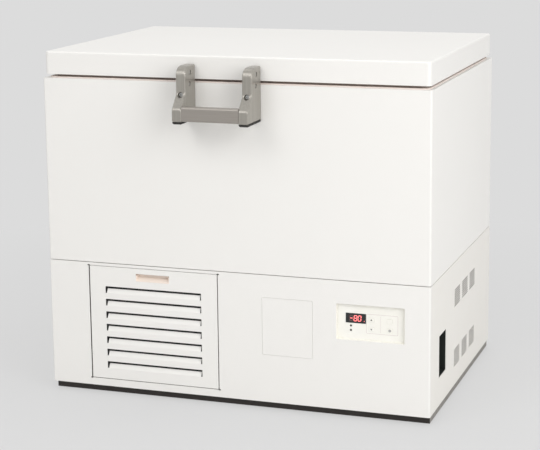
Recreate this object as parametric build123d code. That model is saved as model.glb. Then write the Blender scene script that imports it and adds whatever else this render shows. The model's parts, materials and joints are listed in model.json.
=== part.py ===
# Laboratory chest freezer: an insulated cabinet on a machine base, under a rear-hinged lid.
# Millimetres. +X is right, -Y is the front, +Z is up. The floor is Z = 0, and the origin lies
# under the middle of the whole outline, from the front of the handle to the rear spacers.
import os
from math import cos, radians, sin

from build123d import *


# Overall sizes
cabinet_width = 1090.0
cabinet_depth = 765.0
overall_height = 960.0
spacer_depth = 40.0
spacer_width = 80.0
spacer_height = 60.0
spacer_round = 6.0
touch_gap = 0.3            # between curved faces that seat on each other

# Heights of the main bodies
pad_height = 3.0
plinth_height = 24.0
mid_seam = 378.0
seam_gap = 2.0
lid_height = 62.0
lid_gap = 10.0

# Sheet thicknesses
shell_sheet = 1.5
panel_sheet = 1.5
grille_sheet = 1.2
deck_sheet = 2.0

# Cabinet and tank
cabinet_corner = 6.0
shell_flange = 18.0
wall_insulation = 100.0
floor_insulation = 105.0
tank_sheet = 1.0
tank_corner = 25.0
tank_rim = 12.0
collar_height = 3.0
collar_inset = 10.0
coil_tube = 8.0
coil_turns = 4
coil_start = 40.0
coil_end = 125.0
coil_space = 9.0
coil_leg_hole = 14.0

# Lid
lid_inset = 5.0
lid_corner = 11.0
lid_top_round = 5.0
lid_flange = 15.0
liner_sheet = 2.0
plug_depth = 38.0
plug_clearance = 7.0
plug_draft = 5.0
gasket_inset = 22.0
gasket_width = 15.0
gasket_lip = 0.2

# Lid hinges
hinge_inset = 195.0
hinge_axis_back = 22.0
hinge_axis_rise = 5.0
hinge_pin = 10.0
hinge_running_gap = 0.05
hinge_plate = 4.0
hinge_width = 84.0
hinge_ear = 8.0
hinge_ear_gap = 1.0
hinge_boss = 24.0
hinge_body_height = 90.0
hinge_lid_height = 50.0
barrel_wall = 4.0
hinge_bolt_head = 14.0
hinge_bolt_height = 4.0
pin_clip = 2.0

# Handle, with depths measured forwards from the front of the lid
handle_centre = -18.0
handle_spacing = 184.0
arm_width = 26.0
arm_wall = 4.0
arm_back = 7.0
arm_mount_depth = 77.0
arm_grip_depth = 110.0
arm_top = 40.0             # above the lid's lower edge
arm_slope_top = 31.0       # below the lid's lower edge
arm_slope_bottom = 68.0
arm_bottom = 101.0
arm_crown_radius = 26.0
arm_slope_radius = 14.0
arm_heel_radius = 4.0
arm_edge = 2.0
bar_height = 39.0
bar_thickness = 25.0
bar_setback = 1.5
bar_round = 6.0
bar_drop = 1.0
cap_height = 7.0
bracket_gap = 0.5
front_bolt_drop = 34.0
front_bolt_head = 12.0
front_bolt_head_height = 6.0
front_bolt_shank = 6.0
bolt_socket = 6.0
bolt_socket_depth = 3.5
bolt_engagement = 2.0
counterbore = 15.0
counterbore_depth = 13.0
counterbore_wall = 3.0
side_screw_head = 9.0
side_screw_head_height = 1.2
side_screw_shank = 5.0
screw_fit = 0.05
side_recess = 13.0
side_recess_depth = 2.8
side_screws = ((40.0, 22.0), (44.0, -8.0))   # depth and height from the lid's lower edge

# Machine base
rail_inset = 4.0
rail_width = 40.0
rail_top = 48.0
rail_wall = 3.0
angle_leg = 30.0
frame_setback = 30.0
kick_setback = 17.0
kick_sheet = 2.0
bearer_width = 30.0
bearer_spacing = 360.0
bearer_height = 20.0
pad_size = 36.0
front_return = 9.0
front_corner = 4.0
panel_joint = 0.8
hem_width = 14.0

# Openings in the front panel
grille_left_margin = 122.0
grille_right_margin = 591.0
grille_top_margin = 9.0
grille_rise = 22.0
grille_side_gap = 3.0
grille_end_gap = 1.4
grille_relief = 7.0
recorder_right_margin = 321.0
recorder_width = 141.0
recorder_height = 158.0
recorder_gap = 0.8
recorder_flange = 12.0
control_right_margin = 69.0
control_width = 186.0
control_height = 97.0
instrument_drop = 62.0

# Filter grille
grille_flange = 14.0
louvre_pitch = 36.0
louvre_top_margin = 56.0
louvre_bottom_margin = 26.0
louvre_side_margin = 46.5
louvre_height = 12.0
louvre_slit = 7.5
louvre_end_slit = 4.0
louvre_lean = 7.0
pull_width = 98.0
pull_height = 21.0
pull_top_margin = 15.0
pull_depth = 14.0
pull_back_height = 9.0
pull_wall = 1.6
pull_flange = 4.0
pull_fit = 0.2
filter_setback = 18.0
filter_thickness = 10.0
filter_border = 12.0
filter_lip = 8.0
filter_fit = 0.5
magnet_width = 24.0
magnet_height = 12.0

# Control panel
tray_depth = 10.0
tray_floor = 2.0
tray_wall = 1.6
tray_flange = 10.0
tray_corner = 3.0
overlay_sheet = 0.6
overlay_margin = 3.0
overlay_corner = 7.0
display_left = 24.0
display_drop = 26.0
display_width = 55.0
display_height = 26.0
window_width = 36.0
window_height = 18.0
window_left = 8.0
window_sheet = 0.8
window_sink = 0.4
display_proud = 1.0
lamp_diameter = 5.5
lamp_left = 38.0
lamp_drop = 60.0
lamp_pitch = 12.0
lamp_gap = 0.3
key_width = 15.0
key_height = 12.0
key_gap = 0.3
key_proud = 0.8
key_flange = 1.0
key_flange_height = 1.2
key_stem = 5.0
key_travel = 0.7
key_mark = 6.0
key_mark_height = 0.2
key_places = {"key_up": (94.0, 41.0), "key_down": (94.0, 66.0),
              "key_alarm": (144.0, 41.0), "key_set": (144.0, 66.0)}
board_sheet = 1.6
board_standoff = 6.0
board_margin = 12.0
standoff_diameter = 7.0
switch_body = 6.0
switch_height = 1.6
terminal_strip = (60.0, 12.0, 14.0)
terminal_rise = 12.0

# Side recess with the power rocker
recess_front = 102.0
recess_depth_along = 81.0
recess_bottom = 102.0
recess_height = 115.0
recess_sink = 26.0
recess_wall = 2.0
recess_flange = 8.0
rocker_width = 18.0
rocker_height = 26.0
rocker_sink = 14.0
rocker_tilt = 8.0
rocker_gap = 0.8
rocker_pin = 3.0
rocker_pin_gap = 0.05
rocker_drop = 38.0

# Side vents
vent_front = 285.0
vent_slot_length = 72.0
vent_slot_height = 3.6
vent_column_pitch = 98.0
vent_columns = 3
vent_rows = 8
vent_row_pitch = 6.4
vent_rise = 54.0
vent_drop = 127.0

# Rear panel
outlet_slot_length = 90.0
outlet_slot_height = 6.0
outlet_columns = 4
outlet_rows = 9
outlet_row_pitch = 16.0
outlet_column_pitch = 110.0
outlet_bottom = 130.0
gland_inset = 105.0
gland_height = 100.0
gland_thread = 20.0
gland_hex = 27.0
gland_length = 14.0
gland_nut = 5.0
gland_flange = 6.0
gland_round = 4.0
gland_fit = 0.2

# Condenser and fan
condenser_side_margin = 23.5
condenser_head_room = 25.0
condenser_thickness = 44.0
condenser_setback = 45.0
condenser_foot = 10.0
fin_pitch = 8.0
fin_gap = 5.4
fin_web = 14.0
condenser_tube = 9.0
condenser_passes = 6
tube_stub = 12.0
side_plate = 1.5
shroud_depth = 34.0
shroud_sheet = 1.2
shroud_rim = 10.0
fan_margin = 7.0
fan_tip_gap = 6.0
fan_hub = 64.0
fan_hub_length = 26.0
fan_blades = 5
fan_blade_sheet = 2.5
fan_blade_chord = 78.0
fan_pitch = 26.0
fan_shaft = 8.0
fan_fit = 0.05
fan_inset = 6.0
motor_diameter = 92.0
motor_length = 78.0
motor_gap = 8.0
strap_width = 40.0
strap_sheet = 3.0

# Compressors and refrigerant circuit
compressor_clearance = 19.0
compressor_gap = 39.0
compressor_back = 45.0
compressor_diameter = 178.0
compressor_height = 205.0
compressor_plate = (216.0, 170.0)
compressor_plate_sheet = 3.0
compressor_crown = 48.0
compressor_base_round = 26.0
compressor_seam = 6.0
compressor_seam_proud = 2.5
grommet_diameter = 30.0
grommet_height = 12.0
grommet_groove = 3.0
grommet_inset = 2.0
stub_diameter = 12.0
stub_length = 14.0
terminal_box = (26.0, 70.0, 60.0)
exchanger_size = (110.0, 90.0)
exchanger_head_room = 79.0
exchanger_rear_gap = 50.0
exchanger_corner = 14.0
exchanger_band = 12.0
exchanger_band_proud = 1.0
drier_rise = 70.0
drier_diameter = 32.0
drier_length = 110.0
drier_neck = 20.0
pipe_diameter = 9.0
pipe_bend = 18.0


# Places worked out from the sizes above
handle_reach = arm_grip_depth - lid_inset
overall_depth = handle_reach + cabinet_depth + spacer_depth
half_width = cabinet_width / 2
front = -overall_depth / 2 + handle_reach
rear = front + cabinet_depth
lid_bottom = overall_height - lid_height
cabinet_top = lid_bottom - lid_gap
collar_top = cabinet_top + collar_height
shell_bottom = mid_seam + seam_gap / 2
base_top = mid_seam - seam_gap / 2
lid_front = front + lid_inset
lid_rear = rear - lid_inset
lid_width = cabinet_width - 2 * lid_inset
lid_depth = cabinet_depth - 2 * lid_inset
middle = (front + rear) / 2
liner_bottom = lid_bottom + shell_sheet
tank_width = cabinet_width - 2 * wall_insulation
tank_depth = cabinet_depth - 2 * wall_insulation
tank_bottom = shell_bottom + floor_insulation
hinge_axis_y = rear + hinge_axis_back
hinge_axis_height = cabinet_top + hinge_axis_rise
frame_x = half_width - rail_inset
frame_front = front + frame_setback
frame_rear = rear - rail_inset
rail_front = front + kick_setback + kick_sheet
post_top = shell_bottom - angle_leg
deck_top = rail_top + deck_sheet
grille_left = -half_width + grille_left_margin
grille_width = cabinet_width - grille_left_margin - grille_right_margin
grille_centre = grille_left + grille_width / 2
grille_bottom = plinth_height + grille_rise
grille_top = base_top - grille_top_margin
instrument_top = base_top - instrument_drop
recorder_left = half_width - recorder_right_margin - recorder_width
control_left = half_width - control_right_margin - control_width
louvre_first = grille_top - louvre_top_margin
louvre_width = grille_width - 2 * louvre_side_margin
pull_top = grille_top - pull_top_margin
vent_bottoms = (plinth_height + vent_rise, base_top - vent_drop)
gland_x = half_width - gland_inset
tray_y = front + tray_depth
board_y = tray_y + tray_floor + board_standoff
condenser_width = grille_width - 2 * condenser_side_margin
condenser_height = post_top - deck_top - condenser_foot - condenser_head_room
fan_opening = min(condenser_width, condenser_height) - 2 * fan_margin
fan_diameter = fan_opening - 2 * fan_tip_gap
tube_end_x = grille_centre + condenser_width / 2 + side_plate + tube_stub
pipe_lane = pipe_bend * 1.6
corridor_x = tube_end_x + pipe_lane
first_compressor_x = corridor_x + compressor_clearance + compressor_plate[0] / 2
second_compressor_x = first_compressor_x + compressor_plate[0] + compressor_gap
compressor_places = (first_compressor_x, second_compressor_x)
exchanger_x = (first_compressor_x + second_compressor_x) / 2
exchanger_top = shell_bottom - bearer_height - exchanger_head_room


# Small builders
def span(start, length):
    """The (low, high) pair that starts at one place and has the given length."""
    return (start, start + length)


def around(centre, size):
    """The (low, high) pair of the given size about a centre."""
    return (centre - size / 2, centre + size / 2)


def block(x, y, z):
    """A box from three (low, high) pairs."""
    centre = [(low + high) / 2 for low, high in (x, y, z)]
    size = [high - low for low, high in (x, y, z)]
    return Pos(*centre) * Box(*size)


def column(width, depth, radius, z, y=middle, x=0.0):
    """A standing prism with rounded upright edges."""
    outline = RectangleRounded(width, depth, radius)
    return Pos(x, y, z[0]) * extrude(outline, z[1] - z[0])


def upright(diameter, x, y, z):
    """A standing cylinder."""
    return Pos(x, y, z[0]) * extrude(Circle(diameter / 2), z[1] - z[0])


def crosswise(outline, x):
    """Extrudes an outline drawn in (Y, Z) from the first X to the second."""
    return extrude(Plane.YZ.offset(x[0]) * outline, x[1] - x[0])


def forwards(outline, y):
    """Extrudes an outline drawn in (X, Z) from the first Y to the second."""
    return extrude(Plane.XZ.offset(-y[0]) * outline, -(y[1] - y[0]))


def facing(diameter, x, z, y):
    """A cylinder along Y."""
    return forwards(Pos(x, z) * Circle(diameter / 2), y)


def rounded_outline(corners):
    """A closed outline from (u, v, radius) corners."""
    face = make_face(Polyline(*[(u, v) for u, v, radius in corners], close=True))
    for u, v, radius in corners:
        if radius:
            corner = face.vertices().sort_by_distance((u, v, 0))[0]
            face = fillet(corner, radius)
    return face


def both_sides(solid):
    """A solid and its mirror image across the middle plane."""
    return [solid, mirror(solid, Plane.YZ)]


def pipe(points, diameter=pipe_diameter, bend=pipe_bend):
    """A tube's outside, bent round the corners of its route."""
    route = FilletPolyline(*points, radius=bend) if len(points) > 2 else Line(*points)
    section = Plane(origin=route @ 0, z_dir=route % 0) * Circle(diameter / 2)
    return sweep(section, route)


def save(name, solids):
    """Writes one sub-part, which may be a group of like solids."""
    group = solids if isinstance(solids, list) else [solids]
    pieces = [solid for item in group for solid in item.solids()]
    shape = pieces[0] if len(pieces) == 1 else Compound(children=pieces)
    shape.label = name
    export_step(shape, f"parts/{name}.step")


# Insulated cabinet
def cabinet_shell():
    outside = column(cabinet_width, cabinet_depth, cabinet_corner, (shell_bottom, cabinet_top))
    inside = cabinet_hollow((shell_bottom + shell_sheet, cabinet_top - shell_sheet))
    shell = outside - inside - shell_mouth((cabinet_top - shell_sheet, cabinet_top))
    return shell - coil_leg_holes((shell_bottom, shell_bottom + shell_sheet))


def cabinet_hollow(z):
    return column(cabinet_width - 2 * shell_sheet, cabinet_depth - 2 * shell_sheet,
                  cabinet_corner - shell_sheet, z)


def shell_mouth(z):
    return column(cabinet_width - 2 * shell_flange, cabinet_depth - 2 * shell_flange,
                  tank_corner, z)


def tank_prism(grow, z):
    return column(tank_width + 2 * grow, tank_depth + 2 * grow, tank_corner + grow, z)


def inner_tank():
    tub = tank_prism(tank_sheet, (tank_bottom, cabinet_top))
    rim = tank_prism(tank_rim, (cabinet_top - tank_sheet, cabinet_top))
    return tub + rim - tank_prism(0, (tank_bottom + tank_sheet, cabinet_top))


def coil_leg_holes(z):
    legs = [upright(coil_leg_hole, x, coil_leg_y(), z) for x in coil_legs()]
    return legs[0] + legs[1]


def coil_legs():
    """The X of the feed leg, over the exchanger, and of the return leg, over a suction stub."""
    return exchanger_x + exchanger_size[0] * 0.3, stub_places(second_compressor_x)[1][0]


def coil_leg_y():
    return middle + tank_depth / 2 + tank_sheet + touch_gap + coil_tube / 2


def cabinet_insulation():
    foam = cabinet_hollow((shell_bottom + shell_sheet, cabinet_top - shell_sheet))
    foam += shell_mouth((cabinet_top - shell_sheet, cabinet_top))
    foam -= tank_prism(tank_rim, (cabinet_top - tank_sheet, cabinet_top))
    foam -= tank_prism(tank_sheet, (tank_bottom, cabinet_top))
    coil_band = (tank_bottom, coil_heights()[-1] + coil_tube)
    foam -= tank_prism(tank_sheet + coil_space, coil_band)
    return foam - coil_leg_holes((shell_bottom, tank_bottom))


def coil_heights():
    low = tank_bottom + coil_start
    pitch = (cabinet_top - coil_end - low) / (coil_turns - 1)
    return [low + pitch * turn for turn in range(coil_turns)]


def evaporator_coil():
    offset = tank_sheet + touch_gap + coil_tube / 2
    outline = RectangleRounded(tank_width + 2 * offset, tank_depth + 2 * offset, tank_corner + offset)
    coil = None
    for height in coil_heights():
        route = Pos(0, middle, height) * outline.wire()
        section = Plane(origin=route @ 0, z_dir=route % 0) * Circle(coil_tube / 2)
        turn = sweep(section, route)
        coil = turn if coil is None else coil + turn
    for x, top in zip(coil_legs(), (coil_heights()[0], coil_heights()[-1])):
        coil += upright(coil_tube, x, coil_leg_y(), (shell_bottom, top))
    return coil


def breaker_collar():
    ring = column(cabinet_width - 2 * collar_inset, cabinet_depth - 2 * collar_inset,
                  tank_corner, (cabinet_top, collar_top))
    ring = fillet(ring.faces().sort_by(Axis.Z)[-1].edges(), collar_height / 3)
    return ring - tank_prism(0, (cabinet_top, collar_top))


# Lid
def lid_outside():
    prism = column(lid_width, lid_depth, lid_corner, (lid_bottom, overall_height))
    return fillet(prism.faces().sort_by(Axis.Z)[-1].edges(), lid_top_round)


def lid_inside():
    prism = column(lid_width - 2 * shell_sheet, lid_depth - 2 * shell_sheet,
                   lid_corner - shell_sheet, (liner_bottom, overall_height - shell_sheet))
    return fillet(prism.faces().sort_by(Axis.Z)[-1].edges(), lid_top_round - shell_sheet)


def lid_shell():
    mouth = column(lid_width - 2 * lid_flange, lid_depth - 2 * lid_flange,
                   lid_corner, (lid_bottom, liner_bottom))
    return lid_outside() - lid_inside() - mouth


def lid_plug(shrink, depth):
    width = tank_width - 2 * plug_clearance - 2 * shrink
    reach = tank_depth - 2 * plug_clearance - 2 * shrink
    outline = RectangleRounded(width, reach, tank_corner - plug_clearance)
    plug = Pos(0, middle, liner_bottom) * extrude(outline, -depth, taper=plug_draft)
    return fillet(plug.faces().sort_by(Axis.Z)[0].edges(), liner_sheet * 2)


def liner_sheet_top():
    return liner_bottom + liner_sheet


def lid_liner():
    plate = column(lid_width - 2 * shell_sheet, lid_depth - 2 * shell_sheet,
                   lid_corner - shell_sheet, (liner_bottom, liner_sheet_top()))
    hollow = lid_plug(liner_sheet, plug_depth - liner_sheet)
    opening = column(tank_width - 2 * plug_clearance - 2 * liner_sheet,
                     tank_depth - 2 * plug_clearance - 2 * liner_sheet,
                     tank_corner - plug_clearance, (liner_bottom, liner_sheet_top()))
    return plate + lid_plug(0, plug_depth) - hollow - opening


def lid_insulation():
    outline = column(lid_width, lid_depth, lid_corner, (liner_sheet_top(), overall_height))
    core = lid_inside() & outline
    hollow = lid_plug(liner_sheet, plug_depth - liner_sheet)
    opening = column(tank_width - 2 * plug_clearance - 2 * liner_sheet,
                     tank_depth - 2 * plug_clearance - 2 * liner_sheet,
                     tank_corner - plug_clearance, (liner_bottom, liner_sheet_top()))
    return core + opening + hollow


def lid_gasket():
    top = liner_bottom
    low = collar_top + gasket_lip
    width = lid_width - 2 * gasket_inset
    depth = lid_depth - 2 * gasket_inset
    inner = (width - 2 * gasket_width, depth - 2 * gasket_width)
    neck = gasket_width / 4
    ring = column(width, depth, lid_corner, (low, top))
    ring -= column(*inner, lid_corner, (low, top))
    groove_z = (low + (top - low) * 0.7, low + (top - low) * 0.85)
    groove = column(width, depth, lid_corner, groove_z)
    groove -= column(width - 2 * neck, depth - 2 * neck, lid_corner, groove_z)
    ring -= groove
    lower = ring.edges().filter_by_position(Axis.Z, low, low).group_by(Axis.Z)[0]
    return fillet(lower, (top - low) * 0.25)


# Lid hinges
def hinge_places():
    return (-half_width + hinge_inset, half_width - hinge_inset)


def ear_outline(back_y, low, high):
    """The outline of a hinge ear, from the round boss to its plate."""
    boss = Pos(hinge_axis_y, hinge_axis_height) * Circle(hinge_boss / 2)
    root = Line((back_y, low), (back_y, high))
    return make_hull(boss.edges() + [root])


def hinge_pin_hole(x):
    return crosswise(Pos(hinge_axis_y, hinge_axis_height)
                     * Circle(hinge_pin / 2 + hinge_running_gap), x)


def hinge_body_bracket(x):
    top = cabinet_top - shell_sheet
    plate = block(around(x, hinge_width), span(rear, hinge_plate), (top - hinge_body_height, top))
    ears = ear_outline(rear + hinge_plate, top - hinge_body_height * 0.7, top)
    left = crosswise(ears, span(x - hinge_width / 2, hinge_ear))
    right = crosswise(ears, span(x + hinge_width / 2 - hinge_ear, hinge_ear))
    bracket = plate + left + right - hinge_pin_hole(around(x, hinge_width))
    for side in (-1, 1):
        for height in (0.25, 0.75):
            z = top - hinge_body_height * height
            bracket += facing(hinge_bolt_head, x + side * hinge_width * 0.22, z,
                              span(rear + hinge_plate, hinge_bolt_height))
    return bracket


def hinge_lid_bracket(x):
    low = lid_bottom + lid_top_round
    high = low + hinge_lid_height
    inner = hinge_width - 2 * hinge_ear - 2 * hinge_ear_gap
    plate = block(around(x, inner), span(lid_rear, hinge_plate), (low, high))
    ears = ear_outline(lid_rear + hinge_plate, low, high - hinge_plate)
    left = crosswise(ears, span(x - inner / 2, hinge_ear))
    right = crosswise(ears, span(x + inner / 2 - hinge_ear, hinge_ear))
    bracket = plate + left + right - hinge_pin_hole(around(x, hinge_width))
    for side in (-1, 1):
        z = (low + high) / 2
        bracket += facing(hinge_bolt_head, x + side * inner * 0.2, z,
                          span(lid_rear + hinge_plate, hinge_bolt_height))
    return bracket


def hinge_pin_solid(x):
    axis = Pos(hinge_axis_y, hinge_axis_height)
    shaft = crosswise(axis * Circle(hinge_pin / 2), around(x, hinge_width + 2 * hinge_ear_gap))
    head = crosswise(axis * Circle(hinge_pin * 0.8), span(x + hinge_width / 2, hinge_plate))
    clip = crosswise(axis * Circle(hinge_pin * 0.7), span(x - hinge_width / 2 - pin_clip, pin_clip))
    return shaft + head + clip


def hinge_spring_barrel(x):
    length = hinge_width - 4 * hinge_ear - 4 * hinge_ear_gap
    axis = Pos(hinge_axis_y, hinge_axis_height)
    outside = crosswise(axis * Circle(hinge_pin / 2 + barrel_wall), around(x, length))
    outside = chamfer(outside.edges().filter_by(GeomType.CIRCLE), 1)
    return outside - hinge_pin_hole(around(x, length))


# Handle
def arm_places():
    return (handle_centre - handle_spacing / 2, handle_centre + handle_spacing / 2)


def lid_y(depth):
    """The Y of a depth measured forwards from the front of the lid."""
    return lid_front - depth


def arm_outline(grow=0.0, low=arm_bottom):
    """The side outline of a handle arm, shrunk by a wall where grow is below zero."""
    mount = lid_y(arm_mount_depth + grow)
    grip = lid_y(arm_grip_depth + grow)
    back = lid_y(arm_back)
    top = lid_bottom + arm_top + grow
    bottom = lid_bottom - low - grow
    crown = max(arm_crown_radius + grow, 1)
    heel = max(arm_heel_radius + grow, 0)
    return rounded_outline([
        (back, bottom, 0),
        (grip, bottom, heel),
        (grip, lid_bottom - arm_slope_bottom, arm_slope_radius),
        (mount, lid_bottom - arm_slope_top, arm_slope_radius),
        (mount, top, crown),
        (back, top, 0)])


def handle_arm(x):
    arm = crosswise(arm_outline(), around(x, arm_width))
    front_edges = arm.edges().filter_by(Axis.X, reverse=True)
    front_edges = [edge for edge in front_edges if edge.center().Y < lid_y(arm_back) - 1
                   and edge.center().Z > lid_bottom - arm_bottom + 1]
    arm = chamfer(front_edges, arm_edge)
    hollow = crosswise(arm_outline(-arm_wall), around(x, arm_width - 2 * arm_wall))
    arm -= hollow - bolt_boss(x)
    arm -= bolt_bore(x)
    for depth, height in side_screws:
        arm -= side_hole(x, depth, height, side_screw_shank + 2 * bracket_gap, arm_width)
        arm -= side_hole(x, depth, height, side_recess, arm_width) \
            - side_hole(x, depth, height, side_recess, arm_width - 2 * side_recess_depth)
    return arm


def bolt_height():
    return lid_bottom - front_bolt_drop


def bolt_seat():
    """The Y of the floor of the bolt's counterbore."""
    return lid_y(arm_mount_depth - counterbore_depth)


def bolt_boss(x):
    """The solid round the counterbore, from the arm's front wall to the bolt's seat."""
    return facing(counterbore + 2 * counterbore_wall, x, bolt_height(), (lid_y(arm_grip_depth), bolt_seat()))


def bolt_bore(x):
    far = lid_y(arm_grip_depth)
    bore = facing(counterbore, x, bolt_height(), (far, bolt_seat() - arm_wall))
    return bore + facing(front_bolt_shank + 2 * bracket_gap, x, bolt_height(), (far, lid_y(arm_back)))


def side_hole(x, depth, height, diameter, length):
    centre = Pos(lid_y(depth), lid_bottom + height)
    return crosswise(centre * Circle(diameter / 2), around(x, length))


def handle_bracket(x):
    inner_width = arm_width - 2 * arm_wall - 2 * bracket_gap
    core = crosswise(arm_outline(-arm_wall - bracket_gap), around(x, inner_width))
    below = block(around(x, arm_width), (lid_y(arm_grip_depth), lid_y(0)),
                  (lid_bottom - arm_bottom, lid_bottom - arm_slope_top))
    forward = block(around(x, arm_width), (lid_y(arm_grip_depth), bolt_seat()),
                    (lid_bottom - arm_bottom, overall_height))
    foot = block(around(x, inner_width), (lid_y(arm_back), lid_y(0)),
                 (lid_bottom + lid_top_round, lid_bottom + arm_top - arm_wall - bracket_gap))
    bracket = core - below - forward + foot
    for depth, height in side_screws:
        bracket -= side_hole(x, depth, height, side_screw_shank, arm_width)
    return bracket


def front_bolt(x):
    seat = bolt_seat() - arm_wall
    front_face = seat - front_bolt_head_height
    head = facing(front_bolt_head, x, bolt_height(), (front_face, seat))
    head = chamfer(head.faces().sort_by(Axis.Y)[0].edges(), front_bolt_head_height / 8)
    socket = forwards(Pos(x, bolt_height()) * RegularPolygon(bolt_socket / 2, 6),
                      span(front_face, bolt_socket_depth))
    shank = facing(front_bolt_shank, x, bolt_height(), (seat, bolt_seat() + bolt_engagement))
    return head - socket + shank


def side_screw(x, side, depth, height):
    centre = Pos(lid_y(depth), lid_bottom + height)
    outer = arm_width / 2 - side_recess_depth
    wall = arm_width / 2 - arm_wall
    head_x = sorted((x + side * outer, x + side * (outer + side_screw_head_height)))
    shank_x = sorted((x + side * (wall - side_screw_head / 2), x + side * outer))
    head = crosswise(centre * Circle(side_screw_head / 2), head_x)
    return head + crosswise(centre * Circle(side_screw_shank / 2 - screw_fit), shank_x)


def handle_screws():
    screws = [front_bolt(x) for x in arm_places()]
    for x in arm_places():
        for side in (-1, 1):
            screws += [side_screw(x, side, depth, height) for depth, height in side_screws]
    return screws


def handle_bar():
    low = lid_bottom - arm_bottom + bar_drop
    face = lid_y(arm_grip_depth - bar_setback)
    outline = Pos(face + bar_thickness / 2, low + bar_height / 2) \
        * RectangleRounded(bar_thickness, bar_height, bar_round)
    length = handle_spacing - arm_width
    return crosswise(outline, around(handle_centre, length))


def arm_cap(x):
    z = (lid_bottom - arm_bottom - cap_height, lid_bottom - arm_bottom)
    y = (lid_y(arm_grip_depth - arm_heel_radius), lid_y(arm_back))
    cap = block(around(x, arm_width), y, z)
    lower = cap.faces().sort_by(Axis.Z)[0].edges()
    return fillet(lower, cap_height * 0.7)


# Machine base
def hollow_rail(x, y, z, along):
    """A rectangular steel tube, open at both ends."""
    grow = {"X": (0, rail_wall, rail_wall), "Y": (rail_wall, 0, rail_wall)}[along]
    inner = [(low + g, high - g) for (low, high), g in zip((x, y, z), grow)]
    return block(x, y, z) - block(*inner)


def angle_post(side, rear_end):
    """An upright angle with its corner on the frame's own corner."""
    x_out = side * frame_x
    y_out = frame_rear if rear_end else frame_front
    into = -1 if rear_end else 1
    x_leg = sorted((x_out, x_out - side * angle_leg))
    y_leg = sorted((y_out, y_out + into * angle_leg))
    x_thin = sorted((x_out, x_out - side * rail_wall))
    y_thin = sorted((y_out, y_out + into * rail_wall))
    z = (rail_top, post_top)
    return block(x_leg, y_thin, z) + block(x_thin, y_leg, z)


def base_frame():
    rail_z = (pad_height, rail_top)
    inner_x = frame_x - rail_width
    frame = hollow_rail((-inner_x, inner_x), span(rail_front, rail_width), rail_z, "X")
    frame += hollow_rail((-inner_x, inner_x), (frame_rear - rail_width, frame_rear), rail_z, "X")
    for side in (-1, 1):
        x_rail = sorted((side * frame_x, side * inner_x))
        frame += hollow_rail(x_rail, (rail_front, frame_rear), rail_z, "Y")
        frame += angle_post(side, False) + angle_post(side, True)
        x_thin = sorted((side * frame_x, side * (frame_x - rail_wall)))
        x_leg = sorted((side * frame_x, side * (frame_x - angle_leg)))
        frame += block(x_thin, (frame_front, frame_rear), (post_top, shell_bottom))
        frame += block(x_leg, (frame_front, frame_rear), (shell_bottom - rail_wall, shell_bottom))
        frame += block(around(side * bearer_spacing / 2, bearer_width), (frame_front, frame_rear),
                       (shell_bottom - bearer_height, shell_bottom))
    for y_thin, y_leg in ((span(frame_front, rail_wall), span(frame_front, angle_leg)),
                          ((frame_rear - rail_wall, frame_rear), (frame_rear - angle_leg, frame_rear))):
        frame += block((-frame_x, frame_x), y_thin, (post_top, shell_bottom))
        frame += block((-frame_x, frame_x), y_leg, (shell_bottom - rail_wall, shell_bottom))
    return frame


def floor_pads():
    pads = []
    for y in (rail_front + pad_size, middle, frame_rear - pad_size):
        centre = frame_x - rail_width / 2
        pads += both_sides(upright(pad_size, centre, y, (0, pad_height)))
    return pads


def kick_plate():
    return block((-frame_x, frame_x), span(front + kick_setback, kick_sheet),
                 (pad_height, plinth_height + 2 * panel_sheet))


def machine_deck():
    deck = block((-frame_x, frame_x), (frame_front + filter_setback, frame_rear), (rail_top, deck_top))
    for side in (-1, 1):
        x = sorted((side * frame_x, side * (frame_x - angle_leg)))
        deck -= block(x, (frame_rear - angle_leg, frame_rear), (rail_top, deck_top))
        deck -= block(x, (frame_front, frame_front + angle_leg), (rail_top, deck_top))
    return deck


def panel_opening(x, z, corner=0.0):
    """A cutter through the front panel for an opening of the given (X, Z) ranges."""
    y = (front - 1, front + panel_sheet + 1)
    if not corner:
        return block(x, y, z)
    outline = Pos(sum(x) / 2, sum(z) / 2) * RectangleRounded(x[1] - x[0], z[1] - z[0], corner)
    return forwards(outline, y)


def grille_opening():
    x = (grille_left - grille_side_gap, grille_left + grille_width + grille_side_gap)
    z = (grille_bottom - grille_end_gap, grille_top + grille_end_gap)
    opening = panel_opening(x, z)
    for corner_x in x:
        for corner_z in z:
            opening += panel_opening(around(corner_x, grille_relief), around(corner_z, grille_relief / 2))
    return opening


def recorder_range(grow=0.0):
    x = (recorder_left - grow, recorder_left + recorder_width + grow)
    z = (instrument_top - recorder_height - grow, instrument_top + grow)
    return x, z


def control_range(grow=0.0):
    x = (control_left - grow, control_left + control_width + grow)
    z = (instrument_top - control_height - grow, instrument_top + grow)
    return x, z


def base_front_panel():
    x = (-half_width, half_width)
    z = (plinth_height, base_top)
    panel = block(x, span(front, front_return), z)
    panel = fillet(panel.edges().filter_by(Axis.Z).group_by(Axis.Y)[0], front_corner)
    inner = block((x[0] + panel_sheet, x[1] - panel_sheet),
                  (front + panel_sheet, front + front_return), z)
    inner = fillet(inner.edges().filter_by(Axis.Z).group_by(Axis.Y)[0], front_corner - panel_sheet)
    panel -= inner
    flange_x = (x[0] + front_corner, x[1] - front_corner)
    panel += block(flange_x, (front + panel_sheet, frame_front), (base_top - panel_sheet, base_top))
    panel += block(flange_x, (front + panel_sheet, front + kick_setback),
                   span(plinth_height, panel_sheet))
    panel -= grille_opening()
    panel -= panel_opening(*recorder_range(recorder_gap), corner=tray_corner)
    panel -= panel_opening(*control_range(), corner=tray_corner)
    return panel


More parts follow.
